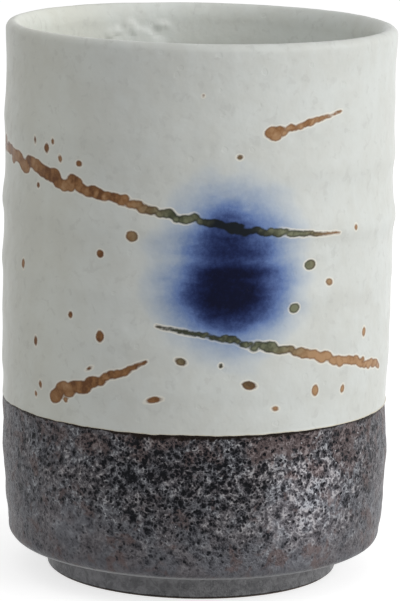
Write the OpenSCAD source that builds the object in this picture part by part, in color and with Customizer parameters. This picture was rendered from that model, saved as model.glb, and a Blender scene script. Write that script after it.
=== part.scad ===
// Tall tea cup without a handle, in glazed stoneware, built up as a potter does.
// The bare clay is one outline turned round +Z: recess, foot, hip, wall, lip, hollow, floor.
// Each glaze coat lies on a stretch of that outline and is raised from it by its thickness.
// The origin is the middle of the face that the cup stands on.

/* [Outside] */
// Height from the standing face to the top of the lip
cup_h = 99.3; // [90:0.1:120]
// Diameter over the lip
mouth_d = 70; // [60:0.1:90]
// Distance from the slight neck up to the top of the lip
neck_drop = 7.3; // [5:0.1:14]
// How far the neck lies inside the lip
neck_in = 0.2; // [0:0.05:1.5]
// Height of the slight belly
belly_h = 61; // [48:0.5:72]
// How far the belly stands outside the lip
belly_out = 0.15; // [0:0.05:2]
// Height of the line where the white glaze ends
line_h = 31.5; // [28:0.1:40]
// How far the wall lies inside the lip at that line
line_in = 0.05; // [0:0.05:1.5]
// Distance from the low swell up to the line
swell_drop = 9; // [6:0.1:12]
// How far the swell stands outside the lip
swell_out = 0.15; // [0:0.05:1.5]
// How far the wall draws in from the swell down to the underside
hip_draw = 1.5; // [0.6:0.05:3]
// Radius of the turned corner between wall and underside
hip_r = 2.6; // [1.5:0.1:5]

/* [Wall and floor] */
// Thickness of the clay at the lip
lip_t = 2.1; // [1.4:0.05:3]
// Thickness of the clay wall above the floor
wall_t = 4; // [2.5:0.1:6]
// Thickness of the clay floor at its rim
floor_t = 5.2; // [4:0.1:8]
// Radius of the hollow corner between wall and floor
corner_r = 11; // [6:0.5:15]
// Depth of the shallow pool in the middle of the floor, where the last tea gathers
pool_depth = 0.9; // [0.4:0.1:1.5]
// Diameter of the pool
pool_d = 26; // [16:0.5:32]

/* [Throwing rings] */
// Height of one finger ring of the wall
ring_pitch = 10.4; // [7:0.1:14]
// Rise of a ring on the outside
ring_out = 0.3; // [0.1:0.02:0.6]
// Rise of a ring on the inside
ring_in = 0.36; // [0.1:0.02:0.6]
// Spacing of the rings on the floor
floor_ring_pitch = 5.2; // [3:0.1:8]
// Rise of a ring on the floor
floor_ring = 0.16; // [0.05:0.01:0.3]

/* [Foot ring] */
// How far the glazed side of the foot ring stands in from the lip
foot_in = 8.8; // [7:0.1:12]
// Height of the foot ring
foot_h = 5.5; // [5:0.1:9]
// How much the middle of the foot's side stands out from its two ends
foot_swell = 0.2; // [0.05:0.05:0.5]
// Width of the clay ring where it joins the underside
foot_root_w = 5; // [4.4:0.1:6.5]
// Width of the clay ring at the face that it stands on
foot_tip_w = 4; // [3.4:0.1:4.3]
// Rounding of the two edges of the standing face
foot_edge_r = 0.5; // [0.3:0.05:1]
// Height of the nub that the turning tool leaves in the recess
nub_h = 0.8; // [0.3:0.1:1.1]
// Diameter of the nub
nub_d = 12; // [6:0.5:18]

/* [Glaze coats] */
// Thickness of the white glaze
white_t = 0.45; // [0.3:0.01:0.7]
// Extra thickness of its lower end, where it gathered
bead_t = 0.06; // [0.02:0.01:0.15]
// Height of that thicker end
bead_h = 2.4; // [1:0.1:4]
// How far the white glaze runs down inside the lip
wrap_drop = 6; // [3:0.1:10]
// Thickness of the liner glaze on the wall
liner_t = 0.4; // [0.3:0.01:0.7]
// Thickness of the liner glaze where it pools on the floor
liner_pool_t = 0.7; // [0.4:0.01:1]
// Thickness of the iron glaze on the wall and the underside
iron_t = 0.32; // [0.2:0.01:0.6]
// Thickness of the glaze on the foot and in the recess
foot_glaze_t = 0.25; // [0.2:0.01:0.45]
// Radius of the glaze that gathers in the corner where the foot meets the underside
root_fillet = 0.8; // [0.4:0.05:1.1]
// Rounding of a free end of a coat
edge_round = 0.15; // [0.05:0.01:0.18]
// Height of bare clay that is wiped clean above the rounded edges of the foot
wipe_rise = 0.15; // [0.05:0.05:1]

/* [Hidden] */
$fn = 180;

// Steps along the outline follow the rings that they have to draw
wall_step = ring_pitch / 8;
floor_step = floor_ring_pitch / 6;
arc_step_deg = 9;
// A straight run this many radii long leaves room for a turned edge
run_share = 1.25;

mouth_r = mouth_d / 2 - white_t;
lip_r = lip_t / 2;
lip_z = cup_h - white_t - lip_r;
swell_z = line_h - swell_drop;
neck_z = cup_h - neck_drop;
wrap_z = cup_h - wrap_drop;
floor_z = foot_h + floor_t;
corner_z = floor_z + corner_r * run_share;
foot_r = mouth_d / 2 - foot_in - foot_glaze_t;
foot_base_r = foot_r - foot_swell;
recess_root_r = foot_base_r - foot_root_w;
recess_tip_r = foot_base_r - foot_tip_w;
wipe_z = foot_edge_r * run_share + wipe_rise;

// Height and clay radius at each change of the outside, from the swell up to the lip
stations = [
    [swell_z, mouth_r + swell_out],
    [line_h, mouth_r - line_in],
    [belly_h, mouth_r + belly_out],
    [neck_z, mouth_r - neck_in],
    [lip_z, mouth_r]
];

function mix(a, b, t) = a + (b - a) * t;
function clip(t) = min(1, max(0, t));
// Runs from 0 to 1, level at both ends
function ease(t) = (1 - cos(180 * clip(t))) / 2;
function unit(v) = v / norm(v);
function outward(d) = [d[1], -d[0]];
function last(list) = list[len(list) - 1];
function but_first(list) = [for (i = [1:1:len(list) - 1]) list[i]];
function but_last(list) = [for (i = [0:1:len(list) - 2]) list[i]];
function reversed(list) = [for (i = [len(list) - 1:-1:0]) list[i]];
// Evenly spaced values from a to b, no further apart than the step
function spaced(a, b, step) =
    let (n = max(1, ceil(abs(b - a) / step)))
    [for (i = [0:n]) mix(a, b, i / n)];
function arc(centre, radius, a0, a1) =
    [for (a = spaced(a0, a1, arc_step_deg)) centre + radius * [cos(a), sin(a)]];

// Arc that rounds a corner between the points before and after it
function round_corner(before, corner, after, radius) =
    let (
        u = unit(before - corner),
        v = unit(after - corner),
        half = acos(u * v) / 2,
        run = radius / tan(half),
        centre = corner + unit(u + v) * radius / sin(half),
        from = corner + u * run - centre,
        to = corner + v * run - centre,
        a0 = atan2(from[1], from[0]),
        turn = (atan2(to[1], to[0]) - a0 + 540) % 360 - 180
    )
    arc(centre, radius, a0, a0 + turn);
function crossing(p, d, q, e) = p + d * cross(q - p, e) / cross(d, e);
// Two lines of points, run on until they cross, with that corner rounded
function joined(a, b, radius) =
    let (
        p = a[len(a) - 2],
        q = b[1],
        corner = crossing(p, last(a) - p, q, b[0] - q)
    )
    concat(but_last(a), round_corner(p, corner, q, radius), but_first(b));

// Outside of the clay: one quarter wave from the underside to the swell, half waves above
function stretch(z, i = 0) = i >= len(stations) - 2 || z < stations[i + 1][0] ? i : stretch(z, i + 1);
function above_swell(z) =
    let (a = stations[stretch(z)], b = stations[stretch(z) + 1])
    mix(a[1], b[1], ease((z - a[0]) / (b[0] - a[0])));
function below_swell(z) = stations[0][1] - hip_draw * (1 - sin(90 * clip((z - foot_h) / (swell_z - foot_h))));
function plain_r(z) = z < swell_z ? below_swell(z) : above_swell(z);
// The rings fade out towards the hip and the lip, with a crest at the glaze line
function wave(z, low) =
    cos(360 * (z - line_h) / ring_pitch) * ease((z - low) / ring_pitch) * ease((lip_z - z) / ring_pitch) / 2;
function outer_r(z) = plain_r(z) + ring_out * wave(z, foot_h + hip_r);
// The clay thins from the hollow corner up to the lip
function clay_t(z) = mix(wall_t, lip_t, ease((z - corner_z) / (lip_z - corner_z)));
function inner_r(z) = plain_r(max(z, corner_z)) - clay_t(z) + ring_in * wave(z, corner_z);

function outer_points(z0, z1) = [for (z = spaced(z0, z1, wall_step)) [outer_r(z), z]];
function inner_points(z0, z1) = [for (z = spaced(z0, z1, wall_step)) [inner_r(z), z]];

// Floor: faint rings, and a pool in the middle
floor_r = inner_r(corner_z) - corner_r * run_share;
function floor_height(r) =
    floor_z - pool_depth * ease(1 - 2 * r / pool_d)
    + floor_ring * sin(360 * r / floor_ring_pitch) * ease((floor_r - r) / floor_ring_pitch) / 2;
floor_points = [for (r = spaced(floor_r, 0, floor_step)) [r, floor_height(r)]];

// Foot: a swelling side, a level standing face and a drawn-in side round the recess
function foot_side_r(z) = foot_r - foot_swell * pow(1 - 2 * z / foot_h, 2);
foot_root = [foot_side_r(foot_h), foot_h];
foot_tip = [foot_base_r, 0];
recess_tip = [recess_tip_r, 0];
recess_root = [recess_root_r, foot_h];
function recess_side(z) = mix(recess_tip, recess_root, z / foot_h);
function nub_height(r) = foot_h - nub_h * ease(1 - 2 * r / nub_d);

// The outline of the bare clay, in the stretches that the coats lie on
recess_roof = concat([for (r = spaced(0, nub_d / 2, floor_step)) [r, nub_height(r)]], [recess_root]);
recess_wall = [recess_root, recess_side(wipe_z)];
bare_edge = joined(
    joined([recess_side(wipe_z), recess_tip], [recess_tip, foot_tip], foot_edge_r),
    [foot_tip, [foot_side_r(wipe_z), wipe_z]],
    foot_edge_r
);
foot_wall = concat(
    [for (z = spaced(wipe_z, foot_h - 2 * root_fillet, root_fillet)) [foot_side_r(z), z]],
    [foot_root]
);
hip_z = foot_h + hip_r * run_share;
low_wall = joined(
    [foot_root, [outer_r(foot_h), foot_h]],
    concat([[outer_r(foot_h), foot_h]], outer_points(hip_z, line_h)),
    hip_r
);
high_wall = concat(
    outer_points(line_h, lip_z),
    but_last(but_first(arc([inner_r(lip_z) + lip_r, lip_z], lip_r, 0, 180))),
    reversed(inner_points(wrap_z, lip_z))
);
hollow = joined(
    concat(reversed(inner_points(corner_z, wrap_z)), [[inner_r(corner_z), floor_z]]),
    concat([[inner_r(corner_z), floor_z]], floor_points),
    corner_r
);

// A line of points moved out along its normals by the thickness at each one.
// Its ends can be given a direction, so that two coats meet in one level or plumb cut.
function normal_at(line, i) =
    let (n = len(line) - 1)
    i == 0 ? outward(unit(line[1] - line[0]))
    : i == n ? outward(unit(line[n] - line[n - 1]))
    : unit(outward(unit(line[i] - line[i - 1])) + outward(unit(line[i + 1] - line[i])));
function raised(line, coat, first = undef, end = undef) =
    [for (i = [0:len(line) - 1])
        line[i] + coat[i] * (
            i == 0 && !is_undef(first) ? first
            : i == len(line) - 1 && !is_undef(end) ? end
            : normal_at(line, i)
        )
    ];
function even(line, t) = [for (p = line) t];
// The free end of a coat, rounded down to the clay
function rounded_start(line, top) = concat(round_corner(line[0], top[0], top[1], edge_round), but_first(top));
function rounded_end(line, top) =
    concat(but_last(top), round_corner(top[len(top) - 2], last(top), last(line), edge_round));
function coat_between(line, top) = concat(line, reversed(top));

level_out = [1, 0];
level_in = [-1, 0];
up = [0, 1];
down = [0, -1];

function white_at(p) = white_t + (p[0] > inner_r(lip_z) + lip_r ? bead_t * ease(1 - (p[1] - line_h) / bead_h) : 0);
function liner_at(p) = mix(liner_pool_t, liner_t, ease((p[1] - floor_z) / corner_r));

module turned(outline) {
    rotate_extrude() polygon(outline);
}

// Thrown clay: wall, lip, hollow and floor in one
module clay_body() {
    color([0.63, 0.55, 0.46]) turned(concat(recess_roof, low_wall, high_wall, but_first(hollow)));
}

// Ring luted to the underside and turned true, bare where it stands
module foot_ring() {
    color([0.56, 0.48, 0.41]) turned(concat(recess_wall, bare_edge, foot_wall));
}

// Coat poured into the hollow, thickest where it pooled
module liner_glaze() {
    top = raised(hollow, [for (p = hollow) liner_at(p)], level_in, up);
    color([0.80, 0.81, 0.79]) turned(coat_between(hollow, top));
}

// Coat over the outside and the lip, ending in a rounded bead
module white_glaze() {
    top = raised(high_wall, [for (p = high_wall) white_at(p)], level_out, level_in);
    color([0.86, 0.87, 0.85]) turned(coat_between(high_wall, rounded_start(high_wall, top)));
}

// Dark coat from the glaze line down round the hip, the underside and the side of the foot
module iron_glaze() {
    foot_top = raised(foot_wall, even(foot_wall, foot_glaze_t), level_out);
    wall_top = raised(low_wall, even(low_wall, iron_t), down, level_out);
    color([0.27, 0.26, 0.27]) turned(coat_between(
        concat(foot_wall, but_first(low_wall)),
        joined(rounded_start(foot_wall, foot_top), wall_top, root_fillet)
    ));
}

// Dark coat inside the foot, parted from the rest by the wiped standing face
module recess_glaze() {
    roof_top = raised(recess_roof, even(recess_roof, foot_glaze_t), down, down);
    wall_top = raised(recess_wall, even(recess_wall, foot_glaze_t), undef, level_in);
    color([0.24, 0.23, 0.24]) turned(coat_between(
        concat(recess_roof, but_first(recess_wall)),
        joined(roof_top, rounded_end(recess_wall, wall_top), root_fillet)
    ));
}

clay_body();
foot_ring();
liner_glaze();
white_glaze();
iron_glaze();
recess_glaze();
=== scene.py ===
import math

import bpy
import numpy as np
from mathutils import Matrix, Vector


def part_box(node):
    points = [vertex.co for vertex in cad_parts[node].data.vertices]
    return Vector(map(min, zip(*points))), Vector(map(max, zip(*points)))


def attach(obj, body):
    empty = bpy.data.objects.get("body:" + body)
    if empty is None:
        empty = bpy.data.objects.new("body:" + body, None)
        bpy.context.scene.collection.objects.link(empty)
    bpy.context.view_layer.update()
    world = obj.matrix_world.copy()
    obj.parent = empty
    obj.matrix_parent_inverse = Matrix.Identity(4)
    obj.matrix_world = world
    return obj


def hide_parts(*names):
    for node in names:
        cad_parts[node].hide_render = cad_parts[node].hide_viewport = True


# Tall thrown tea cup: white glaze over a dark pitted band, on a turned foot.
# The form is worked out in millimetres, and makeSurface turns it into metres.
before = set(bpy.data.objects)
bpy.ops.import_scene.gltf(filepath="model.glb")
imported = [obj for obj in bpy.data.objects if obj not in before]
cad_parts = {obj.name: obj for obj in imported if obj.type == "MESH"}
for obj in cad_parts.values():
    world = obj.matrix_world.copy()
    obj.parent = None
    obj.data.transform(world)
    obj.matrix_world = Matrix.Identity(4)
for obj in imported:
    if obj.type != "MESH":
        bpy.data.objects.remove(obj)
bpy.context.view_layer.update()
toMetres = 0.001
coatEndAngle = 65  # degrees; the skin is smooth but for sharper turns, where a coat ends
farFromLine = 9.0  # mm, for what has no glaze line near it


def topOf(node):
    # Height of a CAD piece's highest point, in mm
    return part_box(node)[1][2] / toMetres


def bottomOf(node):
    # Height of its lowest point
    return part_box(node)[0][2] / toMetres


print("frame loaded, cup", round(topOf("white_glaze"), 1), "mm high")

# Sizes of the form, in mm, measured on the outside of the glaze
cupForm = {
    "mouthRadius": 35.0,
    "lipRound": 1.35,
    "lipSlope": 3.6,
    "neckDrop": 7.3,
    "neckIn": 0.2,
    "bellyHeight": 61.0,
    "bellyOut": 0.15,
    "lineIn": 0.05,
    "swellDrop": 9.0,
    "swellOut": 0.15,
    "hipDraw": 1.5,
    "hipRound": 2.92,
    "wallAtLip": 3.0,
    "wallAtFloor": 4.85,
    "cornerRound": 10.4,
    "floorAboveFoot": 5.9,
    "poolDepth": 0.9,
    "poolRadius": 13.0,
    "footRadius": 26.4,
    "footSwell": 0.15,
    "footTipWidth": 4.0,
    "footRootWidth": 5.0,
    "footEdge": 0.3,
    "wipeHeight": 0.25,
    "rootFillet": 0.8,
    "nubHeight": 0.8,
    "nubRadius": 6.0,
    "calmAtAxis": 3.0,
    "axisGap": 0.25,
}
# Thickness of each coat, and the air between its hidden side and the clay, in mm
coats = {"white": 0.45, "liner": 0.4, "iron": 0.32, "foot": 0.25, "air": 0.02}
cupHeight = topOf("white_glaze")
lineHeight = bottomOf("white_glaze")
wrapHeight = topOf("liner_glaze")
footHeight = topOf("foot_ring")
floorHeight = footHeight + cupForm["floorAboveFoot"]
lipHeight = cupHeight - cupForm["lipRound"]
neckHeight = cupHeight - cupForm["neckDrop"]
swellHeight = lineHeight - cupForm["swellDrop"]
cornerHeight = floorHeight + cupForm["cornerRound"]


def ease(t):
    # Half a cosine wave from 0 to 1, level at both ends
    return (1 - np.cos(np.pi * np.clip(t, 0, 1))) / 2


def mix(a, b, t):
    # a at 0 and b at 1
    return a + (b - a) * t


def bell(t):
    # e to the minus square: 1 in the middle, about a third at 1 and near 0 from 2 on
    return np.exp(-(t**2))


def plainRadius(z):
    # Outside of the white coat without its rings: half waves between the heights where the
    # form changes, and a quarter wave that draws in from the swell down to the underside
    f = cupForm
    z = np.asarray(z, float)
    heights = [swellHeight, lineHeight, f["bellyHeight"], neckHeight, lipHeight]
    offsets = [f["swellOut"], -f["lineIn"], f["bellyOut"], -f["neckIn"], 0]
    r = np.full(z.shape, offsets[0], float)
    for i in range(len(heights) - 1):
        t = ease((z - heights[i]) / (heights[i + 1] - heights[i]))
        r = np.where(z >= heights[i], mix(offsets[i], offsets[i + 1], t), r)
    quarter = np.clip((z - footHeight) / (swellHeight - footHeight), 0, 1) * np.pi / 2
    r = np.where(z < swellHeight, f["swellOut"] - f["hipDraw"] * (1 - np.sin(quarter)), r)
    return f["mouthRadius"] + r


def innerRadius(z):
    # The wall thins from the hollow corner up to the lip
    f = cupForm
    t = ease((z - cornerHeight) / (lipHeight - cornerHeight))
    return plainRadius(np.maximum(z, cornerHeight)) - mix(f["wallAtFloor"], f["wallAtLip"], t)


def ironRadius(z):
    # The clay's outside, which lies under the white coat, plus the iron coat
    return plainRadius(z) - coats["white"] + coats["iron"]


def footSide(z):
    # A low arch between the ends of the foot's side
    return cupForm["footRadius"] - cupForm["footSwell"] * (1 - 2 * z / footHeight) ** 2


def floorLevel(r):
    # Shallow pool in the middle
    return floorHeight - cupForm["poolDepth"] * ease(1 - r / cupForm["poolRadius"])


# Where the thrown wall leaves its plain form, in mm, chosen one by one:
# height, sideways shift of the whole section, change of its radius
wallDrift = [
    (0, -0.06, 0), (5.2, -0.06, 0), (6.4, 0.22, 0.08), (8.3, 0.3, -0.06), (10.2, 0.42, -0.08),
    (13, 0.28, -0.05), (15.7, 0.27, -0.24), (19, 0.22, -0.2), (26, 0.06, -0.2), (34, 0, -0.2),
    (43, 0.02, 0), (51, 0.02, -0.08), (62, 0.1, -0.15), (72, 0, -0.22), (82, -0.03, -0.04),
    (92, 0, -0.03), (99, 0.03, 0),
]
# Finger rings: height on the left and on the right, rise on the left and on the right
fingerRings = [
    (82.4, 86.0, 0.24, 0.10), (79.0, 76.6, 0.04, 0.24), (67.2, 65.6, 0.36, 0.40), (56.5, 55.3, 0.33, 0.16),
    (47.2, 48.3, 0.15, 0.12), (37.7, 39.6, 0.2, 0.08), (29.8, 31.4, 0.2, -0.06), (21.9, 22.4, 0.14, 0.18),
]
# Half height of a ring above and below its middle, how far it wanders in height and varies in strength
# round the cup, and the phase between one ring and the next
ringShape = {"above": 3.1, "below": 1.9, "wander": 0.9, "wanderPhase": 1.7, "vary": 0.25, "varyPhase": 1.3}
# Rings inside: rise and pitch, the height over which they fade, and how far they reach into the corner
innerSpiral = {"rise": 0.16, "pitch": 10.4, "fade": 8.0, "pastCorner": 4.0}


def driftAt(z, column):
    # One column of wallDrift at any height, eased between the chosen places
    h = np.array([place[0] for place in wallDrift], float)
    v = np.array([place[column] for place in wallDrift], float)
    i = np.clip(np.searchsorted(h, z) - 1, 0, len(h) - 2)
    return mix(v[i], v[i + 1], ease((z - h[i]) / (h[i + 1] - h[i])))


def outerRings(angle, z):
    # Each ring is a bell of the height above its middle, steeper below than above; its middle and its rise go
    # from the left's to the right's as a cosine, and waver round the cup
    s = ringShape
    right = (1 + np.cos(angle)) / 2
    total = np.zeros(np.broadcast(angle, z).shape)
    for k, (leftHeight, rightHeight, leftRise, rightRise) in enumerate(fingerRings):
        wander = s["wander"] * np.sin(angle) * math.cos(s["wanderPhase"] * k)
        height = mix(leftHeight, rightHeight, right) + wander
        rise = mix(leftRise, rightRise, right) * (1 + s["vary"] * np.sin(2 * angle + s["varyPhase"] * k))
        t = z - height
        total = total + rise * bell(t / np.where(t > 0, s["above"], s["below"]))
    return total


def innerRings(angle, z):
    # A spiral of finger rings, a cosine of height and angle, fading into the lip and the hollow corner
    s = innerSpiral
    fade = ease((lipHeight - z) / s["fade"]) * ease((z - cornerHeight + s["pastCorner"]) / s["fade"])
    return s["rise"] * np.cos(2 * np.pi * z / s["pitch"] + angle) * fade


def latticeNoise(p, cell, seed):
    # Random numbers on a cube lattice, blended by a smooth step, from -1 to 1
    side, shift = 32, 512.37  # cells before the lattice repeats, and its shift away from the cup's axis
    table = np.random.default_rng(seed).random((side, side, side)) * 2 - 1
    q = p / cell + shift
    i = np.floor(q).astype(int)
    w = q - i
    w = w * w * (3 - 2 * w)
    total = 0
    for corner in np.ndindex(2, 2, 2):
        share = np.prod(np.where(corner, w, 1 - w), -1)
        n = (i + np.array(corner)) % side
        total = total + share * table[n[..., 0], n[..., 1], n[..., 2]]
    return total


def fractalNoise(p, cell, octaves, seed):
    # Lattice noise summed at halved sizes and strengths
    return sum(latticeNoise(p, cell / 2**k, seed + k) / 2**k for k in range(octaves))


def reliefOf(p, *layers):
    # The sum of noises, each given as its strength, size, octaves and seed
    return sum(strength * fractalNoise(p, *noise) for strength, *noise in layers)


def wallPits(around, z, size, seed):
    # Each cell of a grid round the wall holds one random point: distance to the nearest one, and its number
    wallLength = 2 * np.pi * cupForm["mouthRadius"]
    columns, rows = int(round(wallLength / size)), 64
    rng = np.random.default_rng(seed)
    place = rng.random((columns, rows, 2))
    number = rng.random((columns, rows))
    step = wallLength / columns
    a, b = around / step, z / size
    ia, ib = np.floor(a).astype(int), np.floor(b).astype(int)
    nearest = np.full(a.shape, np.inf)
    chosen = np.zeros(a.shape)
    for da, db in np.ndindex(3, 3):
        ca, cb = (ia + da - 1) % columns, (ib + db - 1) % rows
        x = (ia + da - 1 + place[ca, cb, 0] - a) * step
        y = (ib + db - 1 + place[ca, cb, 1] - b) * size
        distance = np.hypot(x, y)
        chosen = np.where(distance < nearest, number[ca, cb], chosen)
        nearest = np.minimum(nearest, distance)
    return nearest, chosen


# Outlines are points of radius and height, running along the skin with the air on their right
def arcPoints(centre, radius, start, end, step):
    # Round a centre from one angle in degrees to another, in steps of at most this length
    count = max(2, int(math.ceil(abs(math.radians(end - start)) * radius / step)) + 1)
    a = np.radians(np.linspace(start, end, count))
    return np.stack([centre[0] + radius * np.cos(a), centre[1] + radius * np.sin(a)], 1)


def straightPoints(start, end, step):
    # Straight from start to end
    count = max(2, int(math.ceil(math.dist(start, end) / step)) + 1)
    t = np.linspace(0, 1, count)[:, None]
    return mix(np.array(start, float), np.array(end, float), t)


def lipPoints(inset, step):
    # A quarter circle outside and a taller quarter oval inside, both set in by an amount
    f = cupForm
    middle, low = f["mouthRadius"] - f["lipRound"], cupHeight - f["lipSlope"]
    wide = middle - float(innerRadius(low)) - inset
    a = np.linspace(0, np.pi / 2, int(f["lipSlope"] / step) + 1)
    oval = np.stack([middle - wide * np.sin(a), low + (f["lipSlope"] - inset) * np.cos(a)], 1)
    return chain(arcPoints((middle, lipHeight), f["lipRound"] - inset, 0, 90, step), oval)


def wallPoints(radius, low, high, step):
    # Points at even heights, each at the radius that the function gives there
    count = max(2, int(math.ceil(abs(high - low) / step)) + 1)
    z = np.linspace(low, high, count)
    return np.stack([radius(z), z], 1)


def chain(*stretches):
    # Stretches end to end, without the points that they share
    kept = [stretches[0]]
    for stretch in stretches[1:]:
        same = np.hypot(*(stretch[0] - kept[-1][-1])) < 1e-6
        kept.append(stretch[1:] if same else stretch)
    return np.concatenate(kept)


def outlineNormals(points):
    # Square to the line through each point's neighbours, on the right of the way along it
    d = np.gradient(points, axis=0)
    n = np.stack([d[:, 1], -d[:, 0]], 1)
    return n / np.hypot(n[:, 0], n[:, 1])[:, None]


def aroundAngles(count, crowding):
    # Angles round the cup from the front, closer together there
    u = np.linspace(0, 2 * np.pi, count, endpoint=False)
    return u - crowding * np.sin(u) - np.pi / 2


def aroundLength(angle):
    # Length round the wall from the middle of the front, positive to the right, in mm
    turn = (angle + np.pi / 2 + np.pi) % (2 * np.pi) - np.pi
    return turn * cupForm["mouthRadius"]


# The turned hip hangs lower: its drop, how much more on the right, and where up the wall it comes and goes
hipHang = {"drop": 0.2, "moreRight": 0.12, "comesAt": 1.0, "comesOver": 3.0, "goneAt": 14.0, "goesOver": 7.0}


def hipSag(angle, z):
    # The drop as a wave round the cup, eased in above the table and out again up the wall
    s = hipHang
    comes, goes = ease((z - s["comesAt"]) / s["comesOver"]), ease((s["goneAt"] - z) / s["goesOver"])
    return (s["drop"] + s["moreRight"] * np.cos(angle)) * comes * goes


def skinGrid(points, angle, depth=0.0, extra=0.0):
    # The outline turned round the axis, moved along its normals by the rings and the extra
    # height less the depth, and drifting sideways with the height
    n = outlineNormals(points)
    r, z = points[:, 0][:, None], points[:, 1][:, None]
    nr, nz = n[:, 0][:, None], n[:, 1][:, None]
    a = angle[None, :]
    rings = np.clip(nr, 0, 1) * (outerRings(a, z) + driftAt(z, 2)) + np.clip(-nr, 0, 1) * innerRings(a, z)
    lift = (rings + extra) * np.clip(r / cupForm["calmAtAxis"], 0, 1) - depth
    rr = np.maximum(r + nr * lift, 0)
    x = rr * np.cos(a) + driftAt(z, 1)
    return np.stack([x, rr * np.sin(a), z + nz * lift], -1)


def makeSurface(name, grid, closed=False, startPole=False, endPole=False):
    # Quads between neighbouring rows and columns; a pole closes an end with triangles on its middle point
    rows, columns = grid.shape[:2]
    points = grid.reshape(-1, 3)
    index = np.arange(rows * columns).reshape(rows, columns)
    beside = np.roll(index, -1, 1)
    if closed:
        quads = np.stack([index, beside, np.roll(beside, -1, 0), np.roll(index, -1, 0)], -1)
    else:
        quads = np.stack([index[:-1], beside[:-1], beside[1:], index[1:]], -1)
    faces = quads.reshape(-1, 4).tolist()
    if startPole:
        faces += [[len(points), b, a] for a, b in zip(index[0], beside[0])]
        points = np.concatenate([points, grid[0].mean(0)[None]])
    if endPole:
        faces += [[len(points), a, b] for a, b in zip(index[-1], beside[-1])]
        points = np.concatenate([points, grid[-1].mean(0)[None]])
    mesh = bpy.data.meshes.new(name)
    mesh.from_pydata((points * toMetres).tolist(), [], faces)
    mesh.shade_smooth()
    mesh.set_sharp_from_angle(angle=math.radians(coatEndAngle))
    piece = bpy.data.objects.new(name, mesh)
    bpy.context.scene.collection.objects.link(piece)
    return piece


def paintPoints(piece, name, values, rest=0.0):
    # A number for each point of the rows that come first, and one for the rest
    data = np.full(len(piece.data.vertices), rest, float)
    data[: values.size] = values.ravel()
    piece.data.attributes.new(name, "FLOAT", "POINT").data.foreach_set("value", data)


def nodeOf(tree, kind, inputs=None, **settings):
    # A shader node with its settings, and its inputs given as values or as sockets to link
    node = tree.nodes.new(kind)
    for key, value in settings.items():
        setattr(node, key, value)
    for key, value in (inputs or {}).items():
        if isinstance(value, bpy.types.NodeSocket):
            tree.links.new(value, node.inputs[key])
        elif isinstance(value, tuple) and len(value) == 3 and node.inputs[key].type == "RGBA":
            node.inputs[key].default_value = (*value, 1)
        else:
            node.inputs[key].default_value = value
    return node


def rampOf(tree, value, stops):
    # A colour ramp from a list of place and colour
    node = nodeOf(tree, "ShaderNodeValToRGB", {"Fac": value})
    elements = node.color_ramp.elements
    while len(elements) < len(stops):
        elements.new(0.5)
    for element, (place, colour) in zip(elements, stops):
        element.position = place
        element.color = (*colour, 1)
    return node.outputs["Color"]


def mathOf(tree, operation, a, b=0.0):
    return nodeOf(tree, "ShaderNodeMath", {0: a, 1: b}, operation=operation).outputs[0]


def plus(tree, a, b):
    return mathOf(tree, "ADD", a, b)


def times(tree, a, b):
    return mathOf(tree, "MULTIPLY", a, b)


def centred(tree, value, strength):
    # Noise moved to lie about 0, times a strength
    return times(tree, mathOf(tree, "SUBTRACT", value, 0.5), strength)


def between(tree, value, low, high):
    # 0 at low and 1 at high, smooth in between; low above high turns it round
    node = nodeOf(tree, "ShaderNodeMapRange", {0: value, 1: low, 2: high}, interpolation_type="SMOOTHSTEP")
    return node.outputs[0]


def summed(tree, layers):
    # Noises moved to lie about 0, each times its strength, added up one after the other
    parts = [centred(tree, value, strength) for value, strength in layers]
    total = parts[0]
    for part in parts[1:]:
        total = plus(tree, total, part)
    return total


def blendOf(tree, share, a, b, how="MIX"):
    # Colour a where the share is 0 and b where it is 1, or a times b with MULTIPLY
    inputs = {0: share, 6: a, 7: b}
    return nodeOf(tree, "ShaderNodeMix", inputs, data_type="RGBA", blend_type=how).outputs[2]


def noiseOf(tree, vector, size, detail=3.0, roughness=0.5, distortion=0.0):
    # Noise with features of about this size in mm
    scale = 1 / (size * toMetres)
    values = {"Vector": vector, "Scale": scale, "Detail": detail, "Roughness": roughness}
    node = nodeOf(tree, "ShaderNodeTexNoise", {**values, "Distortion": distortion})
    return node.outputs["Fac"]


def cellsOf(tree, vector, size):
    # Distance to the nearest of scattered points, in cells of this size in mm
    values = {"Vector": vector, "Scale": 1 / (size * toMetres)}
    return nodeOf(tree, "ShaderNodeTexVoronoi", values).outputs["Distance"]


def wiresOf(tree, vector, size, thickness):
    # 1 along the thin lines where noise crosses its middle, falling evenly to both sides down to -0.6
    deepest = 1.6
    noise = noiseOf(tree, vector, size, detail=3, roughness=0.6)
    off = mathOf(tree, "ABSOLUTE", centred(tree, noise, 1 / thickness))
    return mathOf(tree, "SUBTRACT", 1.0, mathOf(tree, "MINIMUM", off, deepest))


def pointsValue(tree, name):
    # The number that paintPoints gave each point under this name
    return nodeOf(tree, "ShaderNodeAttribute", attribute_name=name).outputs["Fac"]


def axisOf(tree, vector, name):
    # The coordinate of this name: X, Y or Z
    return nodeOf(tree, "ShaderNodeSeparateXYZ", {0: vector}).outputs[name]


def newMaterial(name):
    # A material, its nodes, its shader and the coordinates on the piece
    material = bpy.data.materials.new(name)
    material.use_nodes = True
    tree = material.node_tree
    vector = nodeOf(tree, "ShaderNodeTexCoord").outputs["Object"]
    return material, tree, tree.nodes["Principled BSDF"], vector


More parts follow.
